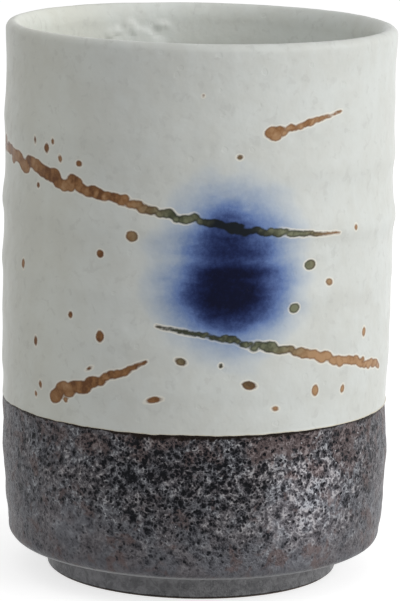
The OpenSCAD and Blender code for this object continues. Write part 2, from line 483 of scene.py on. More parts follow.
def warped(tree, vector, size, amount):
    # The coordinates pushed about by noise, so that cells lose their straight edges
    values = {"Vector": vector, "Scale": 1 / (size * toMetres), "Detail": 2.0}
    push = nodeOf(tree, "ShaderNodeTexNoise", values).outputs["Color"]
    kind = "ShaderNodeVectorMath"
    middle = nodeOf(tree, kind, {0: push, 1: (0.5, 0.5, 0.5)}, operation="SUBTRACT").outputs[0]
    scaled = nodeOf(tree, kind, {0: middle, "Scale": amount * toMetres}, operation="SCALE").outputs[0]
    return nodeOf(tree, kind, {0: vector, 1: scaled}, operation="ADD").outputs[0]


def bumpOf(tree, shader, height, distance, strength):
    # Relief of the skin, as high as distance in mm where height is 1
    values = {"Height": height, "Distance": distance * toMetres, "Strength": strength}
    node = nodeOf(tree, "ShaderNodeBump", values)
    tree.links.new(node.outputs[0], shader.inputs["Normal"])


# White glaze: satin and faintly mottled, with a cobalt bloom and flung iron splashes in it.
# A noise is given as size in mm, detail, roughness and distortion, a warp as size and amount in mm, and a
# pair of levels as the values at which something starts to show and shows in full
whiteLook = {
    "thick": (0.682, 0.705, 0.677),
    "thin": (0.642, 0.655, 0.617),
    "largeMottle": (14, 3, 0.5),
    "smallMottle": (3.4, 3, 0.5, 0.3),
    "largeShare": 0.55,
    "smallShare": 0.45,
    "thickLevels": (0.36, 0.64),
    "fleck": (0.56, 0.57, 0.54),
    "fleckNoise": (1.9, 3, 0.55, 0.5),
    "fleckLevels": (0.56, 0.68),
    "fleckShare": 0.42,
    "leftWarmth": (1.05, 1.04, 1.00),
    "warmAcross": (-0.012, -0.028),  # metres from the axis
    "speck": (0.34, 0.31, 0.25),
    "speckWarp": (2, 1.5),
    "speckCells": 11,
    "speckLevels": (0.020, 0.008),
    # The inside is painted lighter, standing in for light that reaches into the hollow
    "paintedInsideLight": (1.12, 1.12, 1.12),
    "roughness": 0.33,
    "sheenNoise": (3.0, 2, 0.5),
    "sheenSpread": 0.14,
    "gloss": 0.08,
    "waveNoise": (5.5, 2, 0.5),
    "waveHeight": 5.0,
    "skinNoise": (2.2, 2, 0.5),
    "skinHeight": 2.9,
    "dentWarp": (1.5, 1.0),
    "dentCells": 4.3,
    "dentLevels": (0.10, 0.15),
    "dentHeight": 0.7,
    "bump": (0.05, 0.8),
    # Cream edge above the line; its levels are in mm
    "fineNoise": (0.9, 4, 0.65),
    "creamEdge": (0.66, 0.60, 0.46),
    "creamWobble": 0.5,
    "creamLevels": (0.25, 0.0),
    # Cobalt bloom: what its pigment takes of each colour, and from which density it turns black
    "cobaltTakes": (1.0, 0.75, 0.28),
    "cobaltMost": 6.0,
    "blackTakes": (0.0, 0.2, 0.42),
    "blackFrom": 1.6,
    "grainNoise": (0.7, 5, 0.7),
    "grainSpread": 0.75,
    "bloomLevels": (0.002, 0.03),
    # Iron splashes; edge, rim and halo levels are in mm from the edge, below 0 inside it
    "rustDark": (0.155, 0.07, 0.032),
    "rust": (0.285, 0.143, 0.061),
    "rustPale": (0.44, 0.268, 0.145),
    "rustTones": (0.1, 0.45, 1.0),
    "toneNoise": (1.5, 4, 0.7),
    "toneSpread": 1.5,
    "edgeWobble": 0.34,
    "edgeLevels": (0.13, -0.2),
    "rimLevels": (-0.42, -0.12),
    "rustRim": 0.55,
    "olive": (0.065, 0.072, 0.042),
    "olivePale": (0.21, 0.22, 0.14),
    "oliveTones": (0.0, 1.1),
    "oliveRim": 0.6,
    "black": (0.008, 0.011, 0.015),
    "blackInBloom": (0.10, 0.42),
    "halo": (0.84, 0.81, 0.72),
    "haloLevels": (0.32, 0.10),
    "haloOutOfBloom": (0.2, 0.05),
    "haloShare": 0.75,
}


def mottledWhite(tree, vector, look):
    # Patches of thicker and thinner glaze at two sizes, soft grey flecks, a little more warmth on the far
    # left, and a few iron specks
    large = noiseOf(tree, vector, *look["largeMottle"])
    small = noiseOf(tree, vector, *look["smallMottle"])
    both = plus(tree, times(tree, large, look["largeShare"]), times(tree, small, look["smallShare"]))
    colour = blendOf(tree, between(tree, both, *look["thickLevels"]), look["thin"], look["thick"])
    flecks = between(tree, noiseOf(tree, vector, *look["fleckNoise"]), *look["fleckLevels"])
    colour = blendOf(tree, times(tree, flecks, look["fleckShare"]), colour, look["fleck"])
    warm = between(tree, axisOf(tree, vector, "X"), *look["warmAcross"])
    colour = blendOf(tree, warm, colour, look["leftWarmth"], "MULTIPLY")
    specks = cellsOf(tree, warped(tree, vector, *look["speckWarp"]), look["speckCells"])
    return blendOf(tree, between(tree, specks, *look["speckLevels"]), colour, look["speck"])


def cobaltStops(look):
    # Each colour fades as e to the minus density of the pigment times what it takes of that colour;
    # the denser pigment also turns black, and then takes the blue as well
    count = 16
    stops = []
    for i in range(count):
        density = look["cobaltMost"] * i / (count - 1)
        black = max(0, density - look["blackFrom"])
        takes = [k * density + b * black for k, b in zip(look["cobaltTakes"], look["blackTakes"])]
        stops.append((i / (count - 1), [c * math.exp(-t) for c, t in zip(look["thick"], takes)]))
    return stops


def cobaltBloomed(tree, vector, colour, bloom, look):
    # The bloom's density, made grainy, picks the cobalt's colour
    grain = noiseOf(tree, vector, *look["grainNoise"])
    density = times(tree, bloom, plus(tree, 1.0, centred(tree, grain, look["grainSpread"])))
    cobalt = rampOf(tree, density, cobaltStops(look))
    return blendOf(tree, between(tree, bloom, *look["bloomLevels"]), colour, cobalt)


def ironSplashed(tree, vector, colour, fine, bloom, look):
    # Rust by its tone with a darker rim, olive near the bloom, black inside it, and a cream halo outside it
    distance = plus(tree, pointsValue(tree, "splash"), centred(tree, fine, look["edgeWobble"]))
    toneNoise = noiseOf(tree, vector, *look["toneNoise"])
    tone = plus(tree, pointsValue(tree, "tone"), centred(tree, toneNoise, look["toneSpread"]))
    rusts = (look["rustDark"], look["rust"], look["rustPale"])
    iron = rampOf(tree, tone, list(zip(look["rustTones"], rusts)))
    rim = between(tree, distance, *look["rimLevels"])
    iron = blendOf(tree, times(tree, rim, look["rustRim"]), iron, look["rustDark"])
    olive = blendOf(tree, between(tree, tone, *look["oliveTones"]), look["olive"], look["olivePale"])
    olive = blendOf(tree, times(tree, rim, look["oliveRim"]), olive, look["black"])
    iron = blendOf(tree, pointsValue(tree, "nearBloom"), iron, olive)
    iron = blendOf(tree, between(tree, bloom, *look["blackInBloom"]), iron, look["black"])
    outOfBloom = between(tree, bloom, *look["haloOutOfBloom"])
    halo = times(tree, between(tree, distance, *look["haloLevels"]), outOfBloom)
    colour = blendOf(tree, times(tree, halo, look["haloShare"]), colour, look["halo"])
    return blendOf(tree, between(tree, distance, *look["edgeLevels"]), colour, iron)


def makeWhiteGlaze(look, decorated):
    # The mottled white on a skin of waves and shallow dents, with or without the decoration
    material, tree, shader, vector = newMaterial("whiteGlaze" if decorated else "linerGlaze")
    colour = mottledWhite(tree, vector, look)
    # Painted light: the inside is made lighter
    colour = blendOf(tree, pointsValue(tree, "inside"), colour, look["paintedInsideLight"], "MULTIPLY")
    if decorated:
        fine = noiseOf(tree, vector, *look["fineNoise"])
        above = plus(tree, pointsValue(tree, "aboveLine"), centred(tree, fine, look["creamWobble"]))
        colour = blendOf(tree, between(tree, above, *look["creamLevels"]), colour, look["creamEdge"])
        bloom = pointsValue(tree, "bloom")
        colour = cobaltBloomed(tree, vector, colour, bloom, look)
        colour = ironSplashed(tree, vector, colour, fine, bloom, look)
    tree.links.new(colour, shader.inputs["Base Color"])
    sheen = centred(tree, noiseOf(tree, vector, *look["sheenNoise"]), look["sheenSpread"])
    tree.links.new(plus(tree, look["roughness"], sheen), shader.inputs["Roughness"])
    shader.inputs["Specular IOR Level"].default_value = look["gloss"]
    waves = times(tree, noiseOf(tree, vector, *look["waveNoise"]), look["waveHeight"])
    skin = plus(tree, times(tree, noiseOf(tree, vector, *look["skinNoise"]), look["skinHeight"]), waves)
    dents = cellsOf(tree, warped(tree, vector, *look["dentWarp"]), look["dentCells"])
    skin = plus(tree, skin, times(tree, between(tree, dents, *look["dentLevels"]), look["dentHeight"]))
    bumpOf(tree, shader, skin, *look["bump"])
    return material


# Iron glaze: a grey metallic skin that has blistered into plates and wires round black pits
ironLook = {
    "depths": [
        (0.0, (0.003, 0.0035, 0.005)), (0.22, (0.010, 0.011, 0.014)), (0.36, (0.032, 0.033, 0.039)),
        (0.48, (0.078, 0.078, 0.088)), (0.60, (0.113, 0.113, 0.126)), (0.74, (0.145, 0.148, 0.162)),
        (0.87, (0.205, 0.21, 0.226)), (1.0, (0.33, 0.34, 0.355)),
    ],
    # Height of the skin: wires as size, thickness and strength; then cells, holes with their rims, and pits
    "wires": [(2.3, 0.11, 0.46), (1.0, 0.11, 0.34), (0.6, 0.12, 0.2)],
    "cellWarp": (1.0, 0.9),
    "cellSize": 1.3,
    "cellStrength": 0.42,
    "fineNoise": (0.3, 3, 0.75),
    "fineStrength": 0.5,
    "holeWarp": (0.8, 0.3),
    "holeCells": 1.05,
    "holeLevels": (0.32, 0.18),
    "holeHeight": -0.45,
    "rimOutside": (0.52, 0.40),
    "rimInside": (0.26, 0.36),
    "rimHeight": 0.16,
    "pitHeight": -0.3,
    "pittedRelief": 0.75,
    "plainRelief": 0.22,
    "openNoise": (2.6, 3, 0.6),
    "openSpread": 0.5,
    "sootAndShineHeight": -0.16,
    "middle": 0.615,
    "bumpLevels": (0.1, 0.95),
    "bump": (0.35, 1.0),
    # Colours laid over the depths
    "warm": (1.05, 0.98, 0.95),
    "warmNoise": (5, 3, 0.6),
    "warmLevels": (0.42, 0.58),
    "brown": (0.12, 0.08, 0.074),
    "brownNoise": (4.2, 4, 0.6, 0.5),
    "brownBelowLine": (5.5, 1.5),
    "brownAtLine": 0.06,
    "brownInPatch": 0.16,
    "brownLevels": (0.54, 0.66),
    "brownHeights": (0.3, 0.5),
    "brownShare": 0.65,
    "glint": (0.85, 0.87, 0.90),
    "glintWarp": (0.7, 0.6),
    "glintCells": 1.9,
    "glintLevels": (0.075, 0.04),
    "line": (0.012, 0.007, 0.005),
    "lineNoises": [(1.4, 4, 0.7), (6, 2, 0.5)],
    "lineWobble": 1.3,
    "lineLevels": (0.50, 0.24),
    "streakNoise": (1.5, 4, 0.7, 0.6),
    "streakLevels": (0.36, 0.64),
    # The foot's greys are lighter than the band's, partly thinner glaze and partly a painted reflection of
    # the floor
    "footDark": (0.133, 0.133, 0.138),
    "footGrey": (0.22, 0.22, 0.225),
    # Painted sheen: lightens the skin where the soot and shine field falls below 0
    "paintedShine": (1.4, 1.4, 1.43),
    "paintedShineLevels": (-0.1, -1.2),
    # Paler colour for the hip's turned edge and the foot's top, partly thin glaze and partly a painted
    # highlight
    "pale": (0.42, 0.425, 0.43),
    "standHeights": (0.0006, 0.0004),  # metres, as is the wobble
    "standWobble": 0.0003,
    "roughness": 0.36,
    "roughSpread": 0.24,
    "gloss": 0.1,
    "metal": 0.25,
}


def blistered(tree, vector, fine, pitted, look):
    # Wires, warped cells and fine noise added up; then round holes, which are cells dark near their middle
    # and paler in a ring round it, and the modelled pits; all of it weaker where the skin isn't pitted
    layers = [(wiresOf(tree, vector, size, thin), strength) for size, thin, strength in look["wires"]]
    cells = cellsOf(tree, warped(tree, vector, *look["cellWarp"]), look["cellSize"])
    height = summed(tree, [*layers, (cells, look["cellStrength"]), (fine, look["fineStrength"])])
    holes = cellsOf(tree, warped(tree, vector, *look["holeWarp"]), look["holeCells"])
    outside, inside = between(tree, holes, *look["rimOutside"]), between(tree, holes, *look["rimInside"])
    rims = mathOf(tree, "MINIMUM", outside, inside)
    height = plus(tree, height, times(tree, between(tree, holes, *look["holeLevels"]), look["holeHeight"]))
    height = plus(tree, height, times(tree, rims, look["rimHeight"]))
    height = plus(tree, height, times(tree, pointsValue(tree, "pit"), look["pitHeight"]))
    return times(tree, height, plus(tree, times(tree, pitted, look["pittedRelief"]), look["plainRelief"]))


def brownSmears(tree, vector, place, look):
    # Share of brown: noise raised near the line and in the brown patches, and only on the higher skin
    nearLine = between(tree, pointsValue(tree, "belowLine"), *look["brownBelowLine"])
    smear = plus(tree, noiseOf(tree, vector, *look["brownNoise"]), times(tree, nearLine, look["brownAtLine"]))
    smear = plus(tree, smear, times(tree, pointsValue(tree, "brown"), look["brownInPatch"]))
    smear = between(tree, smear, *look["brownLevels"])
    smear = times(tree, smear, between(tree, place, *look["brownHeights"]))
    return times(tree, smear, look["brownShare"])


def makeIronGlaze(look):
    # The height of the blistered skin picks the grey; brown, glints, the dark line, the foot's streaks, a
    # painted shine between patches of soot, the pale edges with a painted highlight and the dark standing
    # edge are laid over it
    material, tree, shader, vector = newMaterial("ironGlaze")
    pitted, sootAndShine, foot = (pointsValue(tree, name) for name in ("pitted", "sootAndShine", "foot"))
    fine = noiseOf(tree, vector, *look["fineNoise"])
    height = blistered(tree, vector, fine, pitted, look)
    opened = centred(tree, noiseOf(tree, vector, *look["openNoise"]), look["openSpread"])
    opened = plus(tree, opened, times(tree, sootAndShine, look["sootAndShineHeight"]))
    place = plus(tree, plus(tree, height, opened), look["middle"])
    colour = rampOf(tree, place, look["depths"])
    hue = between(tree, noiseOf(tree, vector, *look["warmNoise"]), *look["warmLevels"])
    colour = blendOf(tree, hue, colour, look["warm"], "MULTIPLY")
    colour = blendOf(tree, brownSmears(tree, vector, place, look), colour, look["brown"])
    glints = cellsOf(tree, warped(tree, vector, *look["glintWarp"]), look["glintCells"])
    glints = times(tree, between(tree, glints, *look["glintLevels"]), pitted)
    colour = blendOf(tree, glints, colour, look["glint"])
    close, wide = (noiseOf(tree, vector, *noise) for noise in look["lineNoises"])
    ragged = times(tree, mathOf(tree, "SUBTRACT", plus(tree, close, wide), 1.0), look["lineWobble"])
    edge = plus(tree, pointsValue(tree, "belowLine"), ragged)
    colour = blendOf(tree, between(tree, edge, *look["lineLevels"]), colour, look["line"])
    streaks = noiseOf(tree, vector, *look["streakNoise"])
    streaked = between(tree, streaks, *look["streakLevels"])
    # The foot's lighter greys are partly a painted reflection of the floor
    colour = blendOf(tree, foot, colour, blendOf(tree, streaked, look["footDark"], look["footGrey"]))
    # Painted sheen: the colour is lightened where the soot and shine field falls below 0
    colour = blendOf(tree, between(tree, sootAndShine, *look["paintedShineLevels"]), colour, look["paintedShine"], "MULTIPLY")
    # Pale edges of hip and foot: partly thin glaze, partly a painted highlight of the floor's reflection
    colour = blendOf(tree, pointsValue(tree, "paleEdgeAndHighlight"), colour, look["pale"])
    low = plus(tree, axisOf(tree, vector, "Z"), centred(tree, streaks, look["standWobble"]))
    colour = blendOf(tree, between(tree, low, *look["standHeights"]), colour, look["line"])
    tree.links.new(colour, shader.inputs["Base Color"])
    roughness = plus(tree, look["roughness"], centred(tree, fine, look["roughSpread"]))
    tree.links.new(roughness, shader.inputs["Roughness"])
    shader.inputs["Metallic"].default_value = look["metal"]
    shader.inputs["Specular IOR Level"].default_value = look["gloss"]
    bumpOf(tree, shader, between(tree, place, *look["bumpLevels"]), *look["bump"])
    return material


# Bare clay: warm and finely grained where the cup stands, and dark above that, partly stained by the glaze
# above and partly painted shade at the foot's edge
clayLook = {
    "light": (0.33, 0.24, 0.17),
    "dark": (0.15, 0.10, 0.07),
    "grainNoise": (0.6, 5, 0.7),
    "grainShare": 0.6,
    "patchNoise": (6, 3, 0.5),
    "patchShare": 0.4,
    "lightLevels": (0.35, 0.65),
    # Dark above the standing face: partly an iron stain, partly painted shade at the foot's edge
    "stainAndShade": (0.022, 0.017, 0.014),
    "stainAndShadeHeights": (0.00002, 0.0003),  # metres, as is the wobble
    "stainAndShadeWobble": 0.0003,
    "roughness": 0.85,
    "bump": (0.12, 0.8),
}


def makeClay(look):
    # Grain and patches pick the tone, and the stain and painted shade come in with the height
    material, tree, shader, vector = newMaterial("bareClay")
    grain = noiseOf(tree, vector, *look["grainNoise"])
    patches = noiseOf(tree, vector, *look["patchNoise"])
    both = plus(tree, times(tree, grain, look["grainShare"]), times(tree, patches, look["patchShare"]))
    colour = blendOf(tree, between(tree, both, *look["lightLevels"]), look["dark"], look["light"])
    height = plus(tree, axisOf(tree, vector, "Z"), centred(tree, grain, look["stainAndShadeWobble"]))
    stainedAndShaded = between(tree, height, *look["stainAndShadeHeights"])
    tree.links.new(blendOf(tree, stainedAndShaded, colour, look["stainAndShade"]), shader.inputs["Base Color"])
    shader.inputs["Roughness"].default_value = look["roughness"]
    bumpOf(tree, shader, grain, *look["bump"])
    return material


# Flung strokes: points of length round the wall, height and half width in mm, and the seed of their beads
strokes = [
    {"seed": 3, "points": [(-50, 77.6, 1.0), (-38, 76.2, 1.2), (-27, 74.6, 1.35), (-14, 71.9, 0.95),
                           (-3, 69.7, 0.85), (8, 67.7, 0.75), (18, 66.5, 0.5), (27, 66.0, 0.14)]},
    {"seed": 8, "points": [(42, 40.2, 0.7), (33, 42.2, 0.85), (24, 44.4, 0.95), (13, 46.9, 0.75),
                           (2, 49.2, 0.5), (-7, 50.6, 0.14)]},
    {"seed": 5, "points": [(-27, 36.6, 1.4), (-21, 38.6, 1.2), (-14, 41.6, 0.85), (-8.5, 44.3, 0.16)]},
    {"seed": 6, "points": [(12.5, 83.6, 1.2), (16, 84.7, 0.65), (21, 85.9, 0.5), (27, 87.2, 0.12)]},
]
# Drops: length round the wall, height, half width, half height in mm, and tilt in degrees
drops = [
    (-30, 79.4, 0.75, 0.95, 0), (-26.5, 78, 0.55, 0.7, 20), (-22.2, 77.6, 0.75, 0.65, 0),
    (-32.5, 72.6, 0.5, 0.6, 0), (-28.3, 80.8, 0.45, 0.6, 0), (-33.4, 80.4, 0.4, 0.7, 0),
    (-11.5, 66, 1.15, 1, 0), (-17.5, 62.4, 0.8, 0.8, 0), (24.8, 57.6, 0.9, 0.7, -15),
    (17.5, 53.6, 1.1, 0.9, 0), (9.5, 40.4, 1.35, 0.8, -12), (-2.5, 44.6, 1.1, 0.7, -15),
    (20.5, 61, 1.25, 0.95, 10), (-17.2, 48, 0.85, 1.05, 0), (-23.5, 51, 0.55, 0.65, 0),
    (22.5, 38.6, 0.8, 1.05, 0), (29.2, 38, 0.6, 0.85, 0), (14.5, 36, 0.75, 0.45, 0),
    (-7, 37.6, 1.5, 0.6, 14), (-32.5, 45, 0.5, 0.85, 0), (7, 80.2, 0.6, 0.5, 0),
    (31, 66.5, 0.45, 0.6, 0), (35, 47.4, 0.6, 0.9, 0), (-37, 58, 0.6, 0.9, 0),
    (0.5, 90.6, 0.34, 0.34, 0), (-24.6, 35.6, 0.5, 0.5, 0), (-31, 37.4, 0.5, 0.7, 0),
    (-32.6, 35.4, 0.45, 0.6, 0), (4.4, 44, 0.42, 0.42, 0), (-19.4, 42, 0.75, 0.4, 30),
]
# Beads along a stroke, in half widths of it: the way to the next one, the thinnest, how far aside, and how
# much longer than wide
beading = {"nearest": 0.4, "furthest": 1.15, "thinnest": 0.7, "aside": 0.32, "stretched": 1.3}
# All splashes: how sharply neighbours part, the distances counted for a bead and kept in the end, the edge's
# unevenness, and how the tone is made
splashing = {
    "seed": 12, "parting": 9.0, "counted": (-3, 4), "kept": 3.0, "uneven": (0.1, 1.6, 2, 41),
    "toneShare": 0.75, "aloneShare": 0.5, "darker": 0.4, "paler": 0.55, "palerFrom": 4, "palerOver": 18,
}
# The bloom, in mm round and up the wall: core and veil are bells over shares of its half width and height,
# the spot is a bell beside the middle, and a level stripe above the middle is pale
bloomPlace = {
    "around": 6, "height": 60.5, "halfWidth": 14.5, "halfHeight": 16.5,
    "coreShare": 0.5, "coreDensity": 0.72, "veilShare": 0.7, "veilDensity": 0.17,
    "spotLeft": 1.5, "spotBelow": 4.5, "spotHalfWidth": 6.5, "spotHalfHeight": 4.6, "spotDensity": 0.5,
    "paleAbove": 1.6, "paleHalfHeight": 1.5, "paleStrength": 0.35,
    "uneven": (0.085, 6.0, 4, 61), "streaks": (0.25, 1.6, 3, 67), "streaksSquash": 0.22,
    "end": 1.45, "endOver": 0.5, "oliveEnd": 1.5, "oliveOver": 0.6,
}


def beadsOf(stroke):
    # Ovals along the line of points, unevenly spaced and pushed aside, each with a tone of its own
    b = beading
    rng = np.random.default_rng(stroke["seed"])
    points = np.array(stroke["points"], float)
    steps = np.diff(points[:, :2], axis=0)
    along = np.concatenate([[0], np.cumsum(np.hypot(steps[:, 0], steps[:, 1]))])
    tilt = math.degrees(math.atan2(points[-1, 1] - points[0, 1], points[-1, 0] - points[0, 0]))
    beads, run = [], 0.0
    while run < along[-1]:
        place, height, width = (np.interp(run, along, points[:, i]) for i in range(3))
        radius = width * rng.uniform(b["thinnest"], 1)
        height += width * b["aside"] * rng.normal()
        beads.append((place, height, radius * b["stretched"], radius, tilt, rng.random()))
        run += width * rng.uniform(b["nearest"], b["furthest"])
    return beads


def ovalDistance(u, z, place, height, wide, tall, tilt):
    # Distance to an oval's edge, close to true near it
    du, dz = u - place, z - height
    a = math.radians(tilt)
    x = (du * math.cos(a) + dz * math.sin(a)) / wide
    y = (dz * math.cos(a) - du * math.sin(a)) / tall
    return (np.hypot(x, y) - 1) * min(wide, tall)


def splashField(u, z, p):
    # Distance to the nearest splash edge in mm, below 0 inside: minus the logarithm of the sum of e to the
    # minus each bead's distance, so that near beads run together. With it the tone, darker where beads meet
    # and paler on the right
    s = splashing
    rng = np.random.default_rng(s["seed"])
    beads = [bead for stroke in strokes for bead in beadsOf(stroke)]
    beads += [(*drop, rng.random()) for drop in drops]
    total = np.full(u.shape, 1e-12)  # keeps the logarithm finite
    toned = np.zeros(u.shape)
    largest = np.zeros(u.shape)
    for *oval, tone in beads:
        share = np.exp(-s["parting"] * np.clip(ovalDistance(u, z, *oval), *s["counted"]))
        total += share
        toned += share * tone
        largest = np.maximum(largest, share)
    distance = -np.log(total) / s["parting"] + reliefOf(p, s["uneven"])
    paler = s["paler"] * ease((u - s["palerFrom"]) / s["palerOver"])
    tones = (s["toneShare"] * toned + s["aloneShare"] * largest) / total - s["darker"] + paler
    return np.clip(distance, -s["kept"], s["kept"]), tones


def bloomReach(u, z):
    # 0 in the bloom's middle and 1 on the oval of its half width and half height
    b = bloomPlace
    return np.hypot((u - b["around"]) / b["halfWidth"], (z - b["height"]) / b["halfHeight"])


def bloomField(u, z, p):
    # The bells of core and veil, their reach pushed about by noise, and the spot's added up, with level
    # streaks and the pale stripe, and eased out at the end
    b = bloomPlace
    reach = bloomReach(u, z) + reliefOf(p, b["uneven"])
    spotAround = (u - b["around"] + b["spotLeft"]) / b["spotHalfWidth"]
    spotUp = (z - b["height"] + b["spotBelow"]) / b["spotHalfHeight"]
    core = b["coreDensity"] * bell(reach / b["coreShare"])
    veil = b["veilDensity"] * bell(reach / b["veilShare"])
    density = core + veil + b["spotDensity"] * bell(np.hypot(spotAround, spotUp))
    pale = bell((z - b["height"] - b["paleAbove"]) / b["paleHalfHeight"]) * b["paleStrength"]
    squash = np.array([b["streaksSquash"], b["streaksSquash"], 1.0])
    density = density * (1 + reliefOf(p * squash, b["streaks"])) * (1 - pale)
    return np.clip(density, 0, 1) * ease((b["end"] - reach) / b["endOver"])


# Patches on the band: length round the wall, height, half width, half height in mm, strength.
# Soot is dark, and below 0 a patch is a painted sheen that lightens the skin
sootAndShinePatches = [
    (-4, 25.5, 12, 4.2, 1.0), (-3, 19.5, 12, 4.5, 0.6), (8, 22.5, 6, 5, 0.25), (-20, 26, 8, 4, -0.2),
    (4, 13, 9, 3, 0.3), (60, 22, 9, 5, 0.8), (-75, 18, 12, 5, 0.7), (98, 24, 12, 4, 0.6),
    (21, 18.6, 12, 11, -1.12), (-25, 15, 10, 7, -0.4), (-24, 1, 17, 4, -0.85),
]
brownPatches = [
    (19, 29, 8, 2.6, 1.1), (33, 27, 5, 6, 0.9), (24, 9.5, 7, 2.6, 0.9), (-4, 29.5, 9, 1.8, 0.4),
    (-24, 28, 5, 3, 0.4), (66, 14, 8, 4, 0.7), (-90, 26, 10, 4, 0.7),
]


def patchField(patches, u, z):
    # The bells of all patches added up, each times its strength
    total = np.zeros(u.shape)
    for place, height, wide, tall, strength in patches:
        total = total + strength * np.exp(-(((u - place) / wide) ** 2) - ((z - height) / tall) ** 2)
    return total


# The curdled patch under the lip on the far left: its place, with the angle in degrees and half its turn in
# radians, the unevenness of its bell, the level above which the glaze stands up, how soft that edge is,
# and its rise. The soft relief covers the whole inside
curdled = {"angle": 112, "halfTurn": 0.23, "height": 91.5, "halfHeight": 5.6, "uneven": (0.55, 4.2, 3, 19),
           "level": 0.5, "edge": 0.16, "rise": 0.5}
insideSoft = (0.05, 9.0, 3, 51)


def insideRelief(angle, z, p):
    # Soft noise, and the patch eased up where a flat-topped bell times noise passes the level
    s = curdled
    turn = (angle - np.radians(s["angle"]) + np.pi) % (2 * np.pi) - np.pi
    flatBell = np.exp(-((turn / s["halfTurn"]) ** 4) - ((z - s["height"]) / s["halfHeight"]) ** 4)
    patch = ease((flatBell * (1 + reliefOf(p, s["uneven"])) - s["level"]) / s["edge"])
    return reliefOf(p, insideSoft) + s["rise"] * patch


def dressed(piece, material, slotName, *nodes):
    # The piece gets its material and takes the place of its CAD nodes
    piece.data.materials.append(material)
    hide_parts(*nodes)
    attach(piece, "root")


def thinned(points, every):
    # Every so many points of an outline, with both its ends
    keep = np.unique(np.append(np.arange(0, len(points), every), len(points) - 1))
    return points[keep]


def hiddenSide(points, angle, every, thickness):
    # The side of a coat that lies on the clay, in fewer rows, running back along the outline
    return skinGrid(thinned(points, every), angle, depth=thickness - coats["air"])[::-1]


# Small steps of the line between the glazes: strength, size, octaves and seed of each noise
lineSteps = [(0.09, 7.0, 3, 15), (0.08, 1.6, 2, 16)]


def lineWobble(angle):
    # Noise along a circle of the wall's size
    circle = cupForm["mouthRadius"] * np.stack([np.cos(angle), np.sin(angle), 0 * angle], -1)
    return reliefOf(circle, *lineSteps)


# White coat: rounded lower end, wall, lip, and down the inside to the liner
whiteCoat = {
    "columns": 480, "crowding": 0.35, "hiddenEvery": 7,
    "endRound": 0.2, "endStep": 0.1, "wallStep": 0.45, "lipStep": 0.3, "insideStep": 0.45,
    "soft": (0.05, 7.0, 4, 7), "softSquash": 1.6, "softAtLine": 0.35, "softOver": 1.5,
    "dimpleCells": 5.2, "dimpleSeed": 9, "dimplesPast": 0.62, "dimpleDepth": 0.06, "dimpleRadius": 0.8,
    "wobbleUpTo": 5.0,
    # Levels of the outline's normal, which is 1 outside and -1 inside
    "outsideFrom": -0.8, "outsideOver": 1.2, "wobblePast": -0.5, "paintedPast": 0.2, "insideOver": 0.5,
}


def whiteOutline(s):
    f, e = cupForm, s["endRound"]
    base = float(plainRadius(lineHeight + e))
    return chain(
        arcPoints((base - e, lineHeight + e), e, -90, 0, s["endStep"]),
        wallPoints(plainRadius, lineHeight + e, lipHeight, s["wallStep"]),
        lipPoints(0, s["lipStep"]),
        wallPoints(innerRadius, cupHeight - f["lipSlope"], wrapHeight, s["insideStep"]),
    )


def buildWhiteCoat(s, material):
    # Outside, soft noise with a few dimples, weaker at the line; over the lip it gives way to the inside's
    # relief as the outline's normal turns inwards
    points = whiteOutline(s)
    angle = aroundAngles(s["columns"], s["crowding"])
    base = skinGrid(points, angle)
    n = outlineNormals(points)[:, 0][:, None]
    z = points[:, 1][:, None]
    around = aroundLength(angle)[None, :] + 0 * z
    height = z + 0 * around
    soft = reliefOf(base * np.array([1, 1, s["softSquash"]]), s["soft"])
    dimple, number = wallPits(around, height, s["dimpleCells"], s["dimpleSeed"])
    soft = soft - s["dimpleDepth"] * (number > s["dimplesPast"]) * bell(dimple / s["dimpleRadius"])
    soft = soft * mix(s["softAtLine"], 1, ease((z - lineHeight) / s["softOver"]))
    outwards = ease((n - s["outsideFrom"]) / s["outsideOver"])
    extra = mix(insideRelief(angle[None, :], z, base), soft, outwards)
    grid = skinGrid(points, angle, extra=extra)
    wobbling = ease(1 - (z - lineHeight) / s["wobbleUpTo"])
    grid[..., 2] += lineWobble(angle)[None, :] * wobbling * (n > s["wobblePast"])
    hidden = hiddenSide(points, angle, s["hiddenEvery"], coats["white"])
    hidden[..., 2] = np.maximum(hidden[..., 2], lineHeight + s["endRound"])
    piece = makeSurface("whiteGlazeCoat", np.concatenate([grid, hidden]), closed=True)
    outside = n > s["paintedPast"]
    paintPoints(piece, "aboveLine", np.where(outside, height - lineHeight, farFromLine), farFromLine)
    distance, tones = splashField(around, height, base)
    paintPoints(piece, "splash", np.where(outside, distance, splashing["kept"]), splashing["kept"])
    paintPoints(piece, "tone", tones)
    paintPoints(piece, "inside", ease(-n / s["insideOver"]) + 0 * around)
    paintPoints(piece, "bloom", np.where(outside, bloomField(around, height, base), 0.0))
    nearBloom = ease((bloomPlace["oliveEnd"] - bloomReach(around, height)) / bloomPlace["oliveOver"])
    paintPoints(piece, "nearBloom", np.where(outside, nearBloom, 0.0))
    dressed(piece, material, "white_glaze", "white_glaze")


